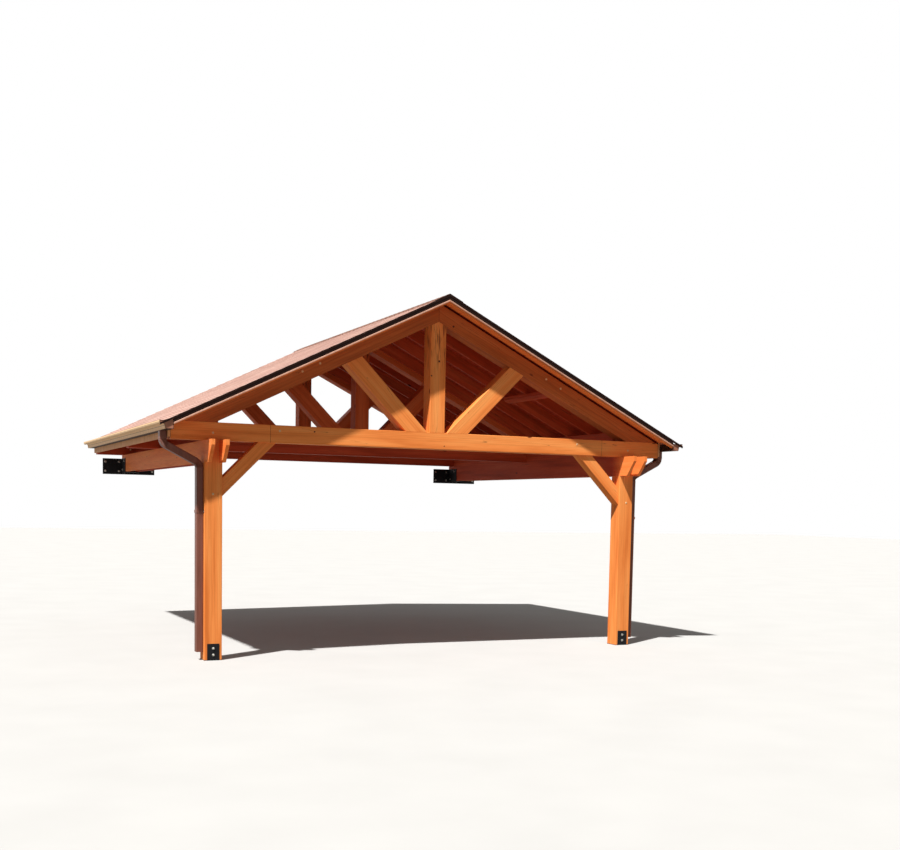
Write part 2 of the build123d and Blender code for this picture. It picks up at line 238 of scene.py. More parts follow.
def painted_metal(name, colour, worn, roughness, grain=3.0, gloss=0.5, folds=(), inner=None):
    """Factory-painted sheet aluminium or steel: even colour with a soft gloss, dulled by dust in broad
    patches and along drips that run down it. Painted shade lies in the folds at the heights `folds`,
    drawn
    5 mm wide so that it shows, and what is nearer than `inner` to the ridge, such as the sheet's back, is
    dark brown, which inside the gutter is painted shade."""
    material, shader, place = new_material(name)
    drips = drawn_out_noise(material, place, (6.0, 6.0, 0.7), grain, 5.0, 0.62)
    tint = node(material, "ValToRGB", drips, stops=[(0.38, worn), (0.62, colour)])
    parts = node(material, "SeparateXYZ", place).node.outputs
    # Painted shade in the folds
    for height in folds:
        above = node(material, "Math", parts["Z"], height, operation="SUBTRACT")
        off = node(material, "Math", above, operation="ABSOLUTE")
        fold_shade = node(material, "MapRange", off, From_Min=1.5 * MM, From_Max=3.5 * MM, To_Min=0.7,
                     To_Max=0.0)
        tint = node(material, "Mix", fold_shade, tint, linear(FOLD_SHADE), data_type="RGBA")
    # Dark brown back; inside the gutter this is painted shade
    if inner:
        across = node(material, "Math", parts["X"], operation="ABSOLUTE")
        inside = node(material, "Math", across, inner, operation="LESS_THAN")
        tint = node(material, "Mix", inside, tint, linear(SHEET_BACK_AND_SHADE), data_type="RGBA")
    dust = node(material, "MapRange", drips, To_Min=roughness + 0.2, To_Max=roughness - 0.05)
    dents = node(material, "TexNoise", place, Scale=24.0, Detail=2.0)
    bump = node(material, "Bump", Strength=0.12, Distance=2 * MM, Height=dents)
    feed(material, shader, Base_Color=tint, Specular_IOR_Level=gloss, Roughness=dust, Normal=bump)
    return material


def bare_metal(name, colour, cloud, roughness):
    """Zinc-plated steel as on lag heads and washers: a pale grey metal with a broken, cloudy shine."""
    material, shader, place = new_material(name)
    clouds = node(material, "TexNoise", place, Scale=90.0, Detail=3.0)
    tint = node(material, "ValToRGB", clouds, stops=[(0.35, cloud), (0.65, colour)])
    shine = node(material, "MapRange", clouds, To_Min=roughness + 0.15, To_Max=roughness)
    feed(material, shader, Base_Color=tint, Metallic=0.8, Roughness=shine)
    return material


def asphalt_shingle(name, colours):
    """Mineral granules pressed into asphalt: each tab has its own tone, granules of about 1.5 mm are
    drawn 4 mm wide so that they show as a fine speckle, and rain has left pale and dark runs down the
    slope."""
    material, shader, place = new_material(name)
    tone = node(material, "Attribute", out="Fac", attribute_name="tone")
    granules = node(material, "TexNoise", place, Scale=1 / GRANULE_W, Detail=2.0)
    patches = node(material, "TexNoise", place, Scale=1.4, Detail=3.0)
    tab_colour = node(material, "ValToRGB", tone, stops=zip((0.0, 0.45, 0.8, 1.0), colours))
    speckle = node(material, "MapRange", granules, From_Min=0.35, From_Max=0.65, To_Min=0.84, To_Max=1.1)
    runs = node(material, "MapRange", patches, From_Min=0.3, From_Max=0.7, To_Min=0.92, To_Max=1.07)
    shade = node(material, "Math", speckle, runs, operation="MULTIPLY")
    tint = node(material, "VectorMath", tab_colour, shade, operation="MULTIPLY")
    bump = node(material, "Bump", Strength=0.6, Distance=2 * MM, Height=granules)
    feed(material, shader, Base_Color=tint, Roughness=0.92, Specular_IOR_Level=0.25, Normal=bump)
    return material


def fine_grained_wood(name, colours, verge_painted_light=None):
    """Planed softwood boards, or small turned or end-grain pieces: straight fine grain along Y, and a
    tone of its own for each board. In front of the front truss it has a paler colour, if one is given:
    painted light."""
    material, shader, place = new_material(name)
    tone = node(material, "Attribute", out="Fac", attribute_name="tone")
    board_tone = node(material, "CombineXYZ", Y=tone)
    apart = node(material, "VectorMath", board_tone, (0.0, 40.0, 0.0), place, operation="MULTIPLY_ADD")
    grain = drawn_out_noise(material, apart, (1.0, 0.03, 1.0), 140.0, 5.0, 0.6)
    tint = node(material, "ValToRGB", grain, stops=zip((0.3, 0.5, 0.75), colours))
    darker = node(material, "MapRange", tone, To_Min=0.0, To_Max=0.4)
    tint = node(material, "Mix", darker, tint, linear(colours[0]), data_type="RGBA")
    # Painted light on the boards in front of the front truss
    if verge_painted_light:
        y = node(material, "SeparateXYZ", place, out="Y")
        ahead = node(material, "Math", y, tie_low.y, operation="LESS_THAN")
        tint = node(material, "Mix", ahead, tint, linear(verge_painted_light), data_type="RGBA")
    bump = node(material, "Bump", Strength=0.3, Distance=1 * MM, Height=grain)
    feed(material, shader, Base_Color=tint, Roughness=0.6, Specular_IOR_Level=0.15, Normal=bump)
    return material


# Stains of the timbers: darker where it soaked in, body, paler, latewood lines, knots and checks
FRAME_STAIN = ("#DC7836", "#F29049", "#F8A45B", "#C0682C", "#5A2810")
# Darker and redder than the stain itself: painted shade, for the ties of the middle and rear trusses, the
# plates, rafters and edge boards
INNER_STAIN_AND_SHADE = ("#A43A1C", "#C14A28", "#CE5C36", "#7C2C12", "#3A150B")
# The stain darkened by painted shade, for the front principals
PRINCIPAL_STAIN_AND_SHADE = ("#9E4F22", "#BC6430", "#CB743E", "#84401C", "#3C1B0C")
# The stain darkened by painted shade, for the king posts, struts and principals of the middle and rear
# trusses
MIDDLE_STAIN_AND_SHADE = ("#B54E22", "#D0602E", "#DC7040", "#8F3C1A", "#40190C")
# Paler: painted light, for what stands in front of the front truss, and for the plates outside the posts
OUTER_STAIN_AND_LIGHT = ("#EA7A36", "#F98A44", "#FF9C54")
# Dark red: the stain darkened by painted shade, for the undersides of the roof boards
BOARD_STAIN_AND_SHADE = ("#8E2A14", "#B03A20", "#BC4C2C")
OAK = ("#C99B68", "#E0B98A", "#EBCBA2")
END_GRAIN = ("#331509", "#4A210F", "#5A2A14")
# Painted highlight on the rafters' lower arrises
PAINTED_ARRIS_HIGHLIGHT = "#FFB496"
BLOTCH_LEVELS = (0.32, 0.5, 0.72)
RING_W = 13 * MM
# A wave texture of scale 1 repeats itself after this distance
WAVE_PERIOD = 0.314
CHECK_LEVEL = 0.56
TRUSS_SIDE_SHIFT = 1.7
# Depth under the pith below which the rafters' arrises get a painted highlight
RAFTER_HIGHLIGHT_DEPTH = 119 * MM
KING_WORN_FROM = 0.7

# Directions of the grain
ALONG_X = (0.0, 0.0, 0.0)
ALONG_Y = (0.0, 0.0, pi / 2)
ALONG_Z = (0.0, -pi / 2, 0.0)
DOWN_SLOPE = (0.0, PITCH, 0.0)
UP_STRUT = (0.0, -pi / 4, 0.0)
DOWN_BRACE = (0.0, pi / 4, 0.0)

# Tones of the shingles, from the darkest, and the width that their granules are drawn
SALMON = ("#AE8A80", "#B99486", "#BE9B8D", "#C3A194")
SALMON_BROWN = ("#94705F", "#9F7B6C", "#A88577", "#B08E80")
GRANULE_W = 4 * MM

# Paint of the sheet metal, with painted shade in the gutter's folds and inside the gutter
FOLD_SHADE = "#5A3A28"
SHEET_BACK_AND_SHADE = "#2A1610"
# Heights of the painted shade in the gutter's folds
GUTTER_FOLDS = (gutter_low.z + 33 * MM, gutter_high.z - 17 * MM)
# Nearer than this to the ridge the gutter is dark brown: painted shade inside it
GUTTER_INSIDE = fascia_high.x + 78 * MM
FASCIA_BACK = fascia_low.x + 3 * MM

brown_metal = painted_metal("painted_aluminium_brown", "#6E4336", "#7C4E40", 0.3, gloss=0.2)
dark_metal = painted_metal("painted_aluminium_dark_brown", "#1F0E09", "#28150F", 0.45, gloss=0.1)
lip_metal = painted_metal("painted_aluminium_drip_edge", "#C99880", "#B5866F", 0.4, gloss=0.3)
gutter_metal = painted_metal("painted_aluminium_tan", "#EFCB9C", "#E2BB8B", 0.45, gloss=0.3,
                             folds=GUTTER_FOLDS, inner=GUTTER_INSIDE)
fascia_metal = painted_metal("painted_aluminium_fascia", "#E6A872", "#D49A66", 0.5, gloss=0.2,
                             inner=FASCIA_BACK)
cap_metal = painted_metal("painted_aluminium_end_caps", "#A8725A", "#95624D", 0.45, gloss=0.3)
black_steel = painted_metal("powder_coated_steel_black", "#0F0F11", "#18181B", 0.5, grain=7.0, gloss=0.2)
zinc = bare_metal("zinc_plated_steel", "#D8D5CC", "#8E8B84", 0.35)
shingle_granules = asphalt_shingle("asphalt_shingles_salmon", SALMON)
cap_granules = asphalt_shingle("asphalt_ridge_caps", SALMON_BROWN)
# Roof boards: the stain darkened by painted shade, with painted light in front of the front truss
boards_stain_light_and_shade = fine_grained_wood("stained_roof_boards_painted_light_and_shade", BOARD_STAIN_AND_SHADE, OUTER_STAIN_AND_LIGHT[1])
peg_wood = fine_grained_wood("turned_oak_pegs", OAK)
dark_grain = fine_grained_wood("end_grain_in_seams_and_knots", END_GRAIN)


# Meshes


def grid_faces(rows, columns, rows_closed=False):
    """Quads between successive rows of a grid of points, each row closed into a ring."""
    first_rows = np.arange(rows if rows_closed else rows - 1)
    row, column = np.meshgrid(first_rows, np.arange(columns), indexing="ij")
    next_row = (row + 1) % rows
    next_column = (column + 1) % columns
    corners = [row * columns + column, row * columns + next_column]
    corners += [next_row * columns + next_column, next_row * columns + column]
    return np.stack(corners, -1).reshape(-1, 4)


def lofted(grids, looped=False):
    """Points and faces of solids, each from a grid of rows of points: the rows are its rings, and a flat
    face closes each end. A looped grid closes on itself instead, like a ring or a pipe's wall."""
    points, faces, start = [], [], 0
    for grid in grids:
        rows, columns = grid.shape[:2]
        faces += (grid_faces(rows, columns, looped) + start).tolist()
        if not looped:
            last = start + (rows - 1) * columns
            faces += [list(range(start, start + columns)), list(range(last, last + columns))]
        points.append(grid.reshape(-1, 3))
        start += rows * columns
    return np.concatenate(points), faces


def piece(name, made, material, replaces=(), tone=None):
    """A piece from points and faces, with all its faces turned outwards. `tone` gives each face a value
    that its material reads."""
    points, faces = made
    mesh = bpy.data.meshes.new(name)
    mesh.from_pydata(np.asarray(points, float).reshape(-1, 3), [], faces)
    if tone is not None:
        layer = mesh.attributes.new("tone", "FLOAT", "FACE")
        layer.data.foreach_set("value", np.asarray(tone, np.float32))
    shell = bmesh.new()
    shell.from_mesh(mesh)
    bmesh.ops.recalc_face_normals(shell, faces=shell.faces)
    shell.to_mesh(mesh)
    shell.free()
    mesh.update()
    mesh.materials.append(material)
    obj = bpy.data.objects.new(name, mesh)
    bpy.context.scene.collection.objects.link(obj)
    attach(obj, "root")
    if replaces:
        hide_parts(*replaces)


def mirrored(grids):
    """The same solids on the other side of the ridge."""
    return [grid * np.array([-1.0, 1.0, 1.0]) for grid in grids]


def both_sides(grids):
    """Solids drawn on the right, and their mirror images."""
    return list(grids) + mirrored(grids)


def prism(outline, start, end):
    """A section given in X and Z, carried along Y from start to end."""
    outline = np.asarray(outline, float)
    return np.stack([np.insert(outline, 1, y, axis=1) for y in (start, end)])


def turned(centre, axis, profile, sides):
    """A solid of revolution: a ring of `sides` points at each (radius, height) of the profile, about an
    axis."""
    axis = np.array(axis, float)
    across = np.cross(axis, SKEW)
    across /= np.linalg.norm(across)
    other = np.cross(axis, across)
    angle = 2 * pi * (np.arange(sides) + 0.5) / sides
    ring = np.cos(angle)[:, None] * across + np.sin(angle)[:, None] * other
    radius, height = np.array(profile, float).T
    return np.array(centre) + radius[:, None, None] * ring + height[:, None, None] * axis


def on_slope(side, run, y, lift):
    """Points of a slope from the distance down it, y, and the height above the shingles' top plane: x is
    run cos + lift sin, z is the ridge's height less run sin plus lift cos. Nothing crosses the ridge."""
    run = np.maximum(run, -lift * SLOPE)
    x = side * (run * SLOPE_COS + lift * SLOPE_SIN)
    z = RIDGE_TOP - run * SLOPE_SIN + lift * SLOPE_COS
    return np.stack(np.broadcast_arrays(x, y, z), -1)


def slope_z(x, depth=0.0):
    """Height at a distance x of the plane that lies a given depth under the shingles' top."""
    return RIDGE_TOP - depth / SLOPE_COS - SLOPE * x


# Directions along Y, and one that no turned solid has as its axis
OUT = (0, -1, 0)
IN = (0, 1, 0)
SKEW = (0.2, 0.3, 0.9)


# Shingles: courses of separate tabs on a sheet


COURSE = 143 * MM
TAB_W = 305 * MM
TAB_SLOT = 7 * MM
TAB_BUTT = 4.0 * MM
TAB_LOW = 5.2 * MM
TAB_UNEVEN = 0.8 * MM
HEAD_LAP = 20 * MM
TAB_FACES = 6


def shingle_tabs(side):
    """The tabs of a slope and the sheet below them, each as two rings of four points. A tab is a wedge:
    its butt stands TAB_BUTT high and its head slips under the next course. Each course starts half a tab
    further on."""
    courses = int(np.ceil(EAVE_LENGTH / COURSE))
    butt = EAVE_LENGTH - COURSE * np.arange(courses)
    starts = ROOF_FRONT - TAB_W + TAB_W * np.arange(int(ROOF_LENGTH / TAB_W) + 3)
    course, start = np.meshgrid(np.arange(courses), starts, indexing="ij")
    course, start = course.ravel(), start.ravel() + (course.ravel() % 2) * TAB_W / 2
    y = np.clip(np.stack([start, start + TAB_W - TAB_SLOT], 1), ROOF_FRONT, 0)
    whole = y[:, 1] - y[:, 0] > TAB_SLOT
    course, y = course[whole], y[whole]
    run = np.stack([np.maximum(butt[course] - COURSE - HEAD_LAP, 0), butt[course]], 1)
    head = -TAB_BUTT * (1 + HEAD_LAP / COURSE)
    crown = -rng.uniform(0, TAB_UNEVEN, len(course))
    top = np.stack([np.full(len(course), head), crown], 1)
    bottom = np.stack([np.full(len(course), -TAB_LOW), crown - TAB_BUTT], 1)
    run, y = np.concatenate([run, [[0, EAVE_LENGTH]]]), np.concatenate([y, [[ROOF_FRONT, 0]]])
    top = np.concatenate([top, [[-TAB_LOW, -TAB_LOW]]])
    bottom = np.concatenate([bottom, [[-SHINGLE_T, -SHINGLE_T]]])
    ring_run = run[:, [0, 1, 1, 0]]
    lift = np.concatenate([bottom, top[:, ::-1]], 1)
    rings = [on_slope(side, ring_run, y[:, [end]], lift) for end in (0, 1)]
    tone = np.append(rng.beta(2, 2, len(course)), 0.0)
    return np.stack(rings, 1), np.repeat(tone, TAB_FACES)


for side_name, side in SIDES.items():
    tabs, tone = shingle_tabs(side)
    hidden = [f"shingles_{side_name}"]
    piece(f"shingle_courses_{side_name}", lofted(tabs), shingle_granules, hidden, tone)


# Ridge: bent cap shingles, the front end of each on the back of the one before it


CAP_W = 150 * MM
CAP_T = 4 * MM
CAP_FRONT_T = 2 * CAP_T
CAP_BACK_T = 0.86 * CAP_T
CAP_ROUND = 8 * MM
CAP_POINTS = 13
CAP_SPREAD = 1.6


def ridge_caps():
    """Caps as wedges whose section is a bent strip: its height falls by SLOPE times sqrt(x^2 + r^2) - r
    from the ridge. Its points lie closer together near the ridge, by the power CAP_SPREAD."""
    across = np.linspace(-1, 1, CAP_POINTS)
    x = np.sign(across) * np.abs(across) ** CAP_SPREAD * CAP_W * SLOPE_COS
    z = RIDGE_TOP - SLOPE * (np.sqrt(x**2 + CAP_ROUND**2) - CAP_ROUND)
    starts = ROOF_FRONT + COURSE * np.arange(int(np.ceil(ROOF_LENGTH / COURSE)))
    grids = []
    for start in starts:
        end = min(start + COURSE + HEAD_LAP, 0)
        rows = []
        for y, thickness in ((start, CAP_FRONT_T), (end, CAP_BACK_T)):
            upper = np.stack([x, np.full(CAP_POINTS, y), z + thickness], 1)
            lower = np.stack([x, np.full(CAP_POINTS, y), z - CAP_T], 1)
            rows.append(np.concatenate([upper, lower[::-1]]))
        grids.append(np.stack(rows))
    return grids


caps = ridge_caps()
cap_tone = np.repeat(rng.beta(2, 2, len(caps)), 2 * CAP_POINTS + 2)
piece("ridge_cap_shingles", lofted(caps), cap_granules, ["ridge_cap"], cap_tone)


# Roof boards: each carried along Y, with its lower arrises planed to a V joint


BOARD_W = 136 * MM
V_JOINT = 5 * MM
BOARD_FACES = 8


def deck_boards(side):
    """Boards of a slope side by side: a six-point section, its two lower corners cut by V_JOINT, carried
    along Y."""
    length = deck_high.x / SLOPE_COS
    edge = length - BOARD_W * np.arange(int(np.ceil(length / BOARD_W)))
    near = np.maximum(edge - BOARD_W, 0)
    low, high = -SHINGLE_T - DECK_T, -SHINGLE_T
    run = np.stack([near, near + V_JOINT, edge - V_JOINT, edge, edge, near], 1)
    lift = np.array([low + V_JOINT, low, low, low + V_JOINT, high, high])
    rings = [on_slope(side, run, y, lift) for y in (ROOF_FRONT, 0.0)]
    return np.stack(rings, 1), np.repeat(rng.uniform(0, 1, len(edge)), BOARD_FACES)


for side_name, side in SIDES.items():
    boards, tone = deck_boards(side)
    hidden = [f"deck_{side_name}"]
    piece(f"roof_boards_{side_name}", lofted(boards), boards_stain_light_and_shade, hidden, tone)


# Sloping edge in front: folded sheet metal with a pale drip lip, and a flashing over the ridge's end


TRIM_H = 69 * MM
TRIM_FOLD = 20 * MM
TRIM_BACK = 5 * MM
TRIM_SHORT = 4 * MM
LIP_H = 15 * MM
LIP_THROAT = 11 * MM
FLASHING_X = 160 * MM
FLASHING_T = 7 * MM
FLASHING_BACK = 45 * MM


def trim_band(side, front, top, bottom, far):
    """A band of the trim from the ridge down to a distance `far`, between two depths and with plumb
    ends."""
    outline = [(0, slope_z(0, top)), (far, slope_z(far, top))]
    outline += [(far, slope_z(far, bottom)), (0, slope_z(0, bottom))]
    return prism(outline, front, ROOF_FRONT) * np.array([side, 1, 1])


def drip_lip(x):
    """The lip's section at a distance x: it leans forward under the trim and drops to a flat lower
    edge."""
    back_y = trim_low.y + TRIM_BACK
    high, throat, low = [slope_z(x, TRIM_H - up) for up in (LIP_H, LIP_THROAT, 0)]
    return [(x, back_y, high), (x, trim_low.y, throat), (x, trim_low.y, low), (x, ROOF_FRONT, low),
            (x, ROOF_FRONT, high)]


for side_name, side in SIDES.items():
    upper = trim_band(side, trim_low.y, 0, TRIM_FOLD, gutter_high.x - TRIM_SHORT)
    lower = trim_band(side, trim_low.y + TRIM_BACK, TRIM_FOLD, TRIM_H - LIP_H, fascia_high.x)
    hidden = [f"rake_trim_{side_name}"]
    piece(f"rake_trim_faces_{side_name}", lofted([upper, lower]), dark_metal, hidden)

lips = np.array([drip_lip(0), drip_lip(fascia_high.x)])
piece("rake_drip_lips", lofted(both_sides([lips])), lip_metal)

flashing = [(x, slope_z(abs(x)) + FLASHING_T) for x in (-FLASHING_X, 0, FLASHING_X)]
flashing += [(x, slope_z(abs(x))) for x in (FLASHING_X, 0, -FLASHING_X)]
flashing_solid = prism(flashing, trim_low.y, ROOF_FRONT + FLASHING_BACK)
piece("ridge_end_flashing", lofted([flashing_solid]), dark_metal)


# Gutters: end caps with a rim, a sleeve over the joint, hangers and the drip edge behind


GUTTER_FLOOR_W = 85 * MM
GUTTER_LEAN = 6 * MM
GUTTER_STEP_H = 34 * MM
GUTTER_LIP_H = 18 * MM
OGEE_POINTS = 7
CAP_PLATE = 1.2 * MM
CAP_RIM = 4 * MM
CAP_RIM_DEPTH = 3 * CAP_PLATE
SLEEVE_T = 1.0 * MM
SLEEVE_L = 65 * MM
SLEEVE_Y = -3.37
HANGER_STEP = 0.61
HANGER_W = 22 * MM
HANGER_T = 2.5 * MM
HANGER_DROP = 6 * MM
HANGER_GAP = 2 * MM
DRIP_T = 1.2 * MM
DRIP_H = 14 * MM


def gutter_front():
    """The ogee from the floor's front edge up to the lip: a hollow arc that starts plumb, and the same
    arc turned half round its end, R = (a^2 + b^2) / 2a for half the step's width a and height b."""
    foot = np.array([fascia_high.x + GUTTER_FLOOR_W, gutter_low.z])
    start = foot + (GUTTER_LEAN, GUTTER_STEP_H)
    end = np.array([gutter_high.x, gutter_high.z - GUTTER_LIP_H])
    middle = (start + end) / 2
    half_w, half_h = middle - start
    radius = (half_w**2 + half_h**2) / (2 * half_w)
    angle = np.linspace(pi, atan2(half_h, half_w - radius), OGEE_POINTS)
    first = start + radius * np.stack([1 + np.cos(angle), np.sin(angle)], 1)
    second = (2 * middle - first)[::-1]
    return np.concatenate([[foot], first, second[1:], [[gutter_high.x, gutter_high.z]]])


def grown(line, amount):
    """An open line in X and Z moved sideways by an amount, outwards when it runs up the gutter's
    front."""
    along = np.gradient(line, axis=0)
    along /= np.linalg.norm(along, axis=1)[:, None]
    return line + amount * np.stack([along[:, 1], -along[:, 0]], 1)


front_line = gutter_front()
back_line = np.array([[fascia_high.x, gutter_high.z], [fascia_high.x, gutter_low.z]])
end_outline = np.concatenate([back_line, front_line])
end_plate = prism(end_outline, ROOF_FRONT - CAP_PLATE, ROOF_FRONT)
piece("gutter_end_caps", lofted(both_sides([end_plate])), cap_metal)

inwards = end_outline.mean(0) - end_outline
inner_outline = end_outline + CAP_RIM * inwards / np.linalg.norm(inwards, axis=1)[:, None]
rim_back, rim_front = ROOF_FRONT - CAP_PLATE, ROOF_FRONT - CAP_RIM_DEPTH
rim_rows = ((end_outline, rim_back), (end_outline, rim_front), (inner_outline, rim_front),
            (inner_outline, rim_back))
rim = np.stack([np.insert(line, 1, y, axis=1) for line, y in rim_rows])
piece("gutter_end_rims", lofted(both_sides([rim]), looped=True), dark_metal)

sleeve_line = front_line[:-3]
sleeve_outline = np.concatenate([grown(sleeve_line, SLEEVE_T), sleeve_line[::-1]])
sleeve = prism(sleeve_outline, SLEEVE_Y - SLEEVE_L / 2, SLEEVE_Y + SLEEVE_L / 2)
piece("gutter_joint_sleeves", lofted(both_sides([sleeve])), gutter_metal)

hanger_top = gutter_high.z - HANGER_DROP
hanger_xs = (fascia_high.x + HANGER_GAP, gutter_high.x - HANGER_GAP)
hanger_outline = [(x, hanger_top) for x in hanger_xs]
hanger_outline += [(x, hanger_top - HANGER_T) for x in reversed(hanger_xs)]
hanger_ys = np.arange(ROOF_FRONT + HANGER_STEP / 2, -HANGER_W, HANGER_STEP)
hangers = [prism(hanger_outline, y, y + HANGER_W) for y in hanger_ys]
piece("gutter_hangers", lofted(both_sides(hangers)), gutter_metal)

drip_top = slope_z(deck_high.x, SHINGLE_T)
drip_bottom = drip_top - DECK_T - DRIP_H
drip_outline = [(deck_high.x, drip_top), (deck_high.x + DRIP_T, drip_top - DRIP_T)]
drip_outline += [(deck_high.x + DRIP_T, drip_bottom), (deck_high.x, drip_bottom)]
piece("eave_drip_edges", lofted(both_sides([prism(drip_outline, ROOF_FRONT, 0)])), lip_metal)


# Downspouts: thin rectangular pipe with rounded corners, and elbows whose walls are pressed into pleats


PIPE_W = leader_high.x - leader_low.x
PIPE_D = leader_high.y - leader_low.y
PIPE_T = 1.2 * MM
PIPE_SLIP = 0.6 * MM
PIPE_ROUND = 9 * MM
CORNER_STEPS = 6
OUTLET_X = outlet_high.x - PIPE_W / 2
LEADER_X = (leader_low.x + leader_high.x) / 2
PIPE_DROP = 130 * MM
PIPE_FALL = 200 * MM
BEND = 75 * MM
TURN = atan2(OUTLET_X - LEADER_X, PIPE_FALL)
SETBACK = BEND * tan(TURN / 2)
PLEATS = 8
PLEAT_ROWS = 7
PLEAT_DEPTH = 3.5 * MM
COLLAR = 30 * MM


def pipe_ring(width, depth):
    """A rounded rectangle: four quarter circles of radius PIPE_ROUND, in steps of 90 / CORNER_STEPS
    degrees."""
    quarter = np.linspace(0, pi / 2, CORNER_STEPS + 1)
    angle = np.concatenate([quarter + k * pi / 2 for k in range(4)])
    corner = np.repeat([(1, 1), (-1, 1), (-1, -1), (1, -1)], CORNER_STEPS + 1, axis=0)
    straight = np.array([width / 2, depth / 2]) - PIPE_ROUND
    return corner * straight + PIPE_ROUND * np.stack([np.cos(angle), np.sin(angle)], 1)


def pipe_wall(centres, angles, outset):
    """The wall of a stretch of pipe, as outer rings going down and inner rings coming back up. `centres`
    are x and z, `angles` how far the pipe leans from plumb, and `outset` how far its wall stands out
    there."""
    rings = []
    for extra in (outset, outset - PIPE_T):
        shape = np.stack([pipe_ring(PIPE_W + 2 * e, PIPE_D + 2 * e) for e in extra])
        x = centres[:, [0]] + shape[:, :, 0] * np.cos(angles)[:, None]
        z = centres[:, [1]] - shape[:, :, 0] * np.sin(angles)[:, None]
        rings.append(np.stack([x, POST_Y + shape[:, :, 1], z], -1))
    return np.concatenate([rings[0], rings[1][::-1]])


def straight_pipe(top, bottom, lean):
    """A straight length between two (x, z) places, narrower by PIPE_SLIP so that it slips into the
    collars."""
    return pipe_wall(np.array([top, bottom]), np.full(2, lean), np.full(2, -PIPE_SLIP))


def pleated_elbow(hub, facing, start, end):
    """An elbow round a hub: an arc of radius BEND between two leans, with a plain collar at each end. Its
    wall goes in and out as a cosine, PLEATS times along the arc."""
    along = np.linspace(0, 1, PLEATS * PLEAT_ROWS + 1)
    lean = start + (end - start) * along
    arc = np.array(hub) + facing * BEND * np.stack([np.cos(lean), -np.sin(lean)], 1)
    heading = -np.stack([np.sin(lean[[0, -1]]), np.cos(lean[[0, -1]])], 1)
    centres = np.concatenate([[arc[0] - COLLAR * heading[0]], arc, [arc[-1] + COLLAR * heading[1]]])
    leans = np.concatenate([[start], lean, [end]])
    pleat = -PLEAT_DEPTH * (0.5 - 0.5 * np.cos(2 * pi * PLEATS * along))
    return pipe_wall(centres, leans, np.concatenate([[0], pleat, [0]]))


bend_high = np.array([OUTLET_X, gutter_low.z - PIPE_DROP])
bend_low = np.array([LEADER_X, gutter_low.z - PIPE_DROP - PIPE_FALL])
upper_hub = bend_high + (-BEND, SETBACK)
lower_hub = bend_low + (BEND, -SETBACK)
slant = SETBACK * np.array([sin(TURN), cos(TURN)])
outlet_tube = straight_pipe((OUTLET_X, gutter_low.z), (OUTLET_X, upper_hub[1]), 0)
offset_tube = straight_pipe(bend_high - slant, bend_low + slant, TURN)
leader_tube = straight_pipe((LEADER_X, lower_hub[1]), (LEADER_X, leader_low.z), 0)
elbows = [pleated_elbow(upper_hub, 1, 0, TURN), pleated_elbow(lower_hub, -1, TURN, 0)]

for name, grids, node_name in (
        ("downspout_outlet_tubes", both_sides([outlet_tube]), "downspout_outlets"),
        ("downspout_pleated_elbows", both_sides(elbows), "downspout_elbows"),
        ("downspout_offset_tubes", both_sides([offset_tube]), "downspout_offsets"),
        ("downspout_leader_left", mirrored([leader_tube]), "downspout_left"),
        ("downspout_leader_right", [leader_tube], "downspout_right")):
    piece(name, lofted(grids, looped=True), brown_metal, [node_name])


# Fasteners: lag heads and bolts with washers, strap screws and turned pegs


BRACKET_T = 8 * MM
BRACKET_SIDE_T = 6 * MM
BASE_T = 6 * MM
STRAP_T = 2 * MM
LAG_CENTRE_X = 234 * MM
LAG_STEP_X = 192 * MM
LAG_STEP_Z = 132 * MM
STRAP_SCREW_IN = 14 * MM
WASHER = [(15 * MM, 0), (15 * MM, 2.5 * MM), (12 * MM, 2.5 * MM)]
HEX = [(11 * MM, 2 * MM), (11 * MM, 9 * MM), (9 * MM, 10.5 * MM)]
SMALL_SCREW = [(5 * MM, 0), (4.5 * MM, 2 * MM), (2.5 * MM, 3 * MM)]
PEG = [(13 * MM, -3 * MM), (13 * MM, 1.5 * MM), (9 * MM, 3.5 * MM), (4 * MM, 4.2 * MM)]
# Distances along Y and heights of the saddle's bolts, and heights of a post base's bolts over the ground
SADDLE_BOLTS = ((-218 * MM, -181 * MM), (-93 * MM, -300 * MM))
BASE_BOLTS = (60 * MM, 130 * MM)
# Distances from the ridge and heights of the pegs of a truss, and of the one through post and brace
TRUSS_PEGS = ((1.42, 0.79), (1.62, 0.69), (1.87, 0.034), (2.603, -0.016))
POST_PEG_X = 2.60
POST_PEG_Z = -0.663


def bolts(places, axis):
    """A round washer and a hex head at each place."""
    shapes = ((WASHER, 20), (HEX, 6))
    return [turned(place, axis, profile, sides) for place in places for profile, sides in shapes]


bracket_z = (bracket_low.z + bracket_high.z) / 2
flange_y = bracket_high.y - BRACKET_T
lags = [(POST_X + side * LAG_CENTRE_X + dx * LAG_STEP_X / 2, flange_y, bracket_z + dz * LAG_STEP_Z / 2)
        for side in (-1, 1) for dx in (-1, 1) for dz in (-1, 1)]
piece("bracket_lag_heads", lofted(both_sides(bolts(lags, OUT))), zinc)

saddle_bolts = []
base_bolts = []
for way in (-1, 1):
    saddle_x = POST_X + way * (HALF + BRACKET_SIDE_T)
    saddle_bolts += bolts([(saddle_x, y, z) for y, z in SADDLE_BOLTS], (way, 0, 0))
    ear_y = POST_Y + way * (HALF + BASE_T)
    base_bolts += bolts([(POST_X, ear_y, GROUND + height) for height in BASE_BOLTS], (0, way, 0))
piece("bracket_saddle_bolts", lofted(both_sides(saddle_bolts)), zinc)
piece("post_base_bolts", lofted(both_sides(base_bolts)), zinc)

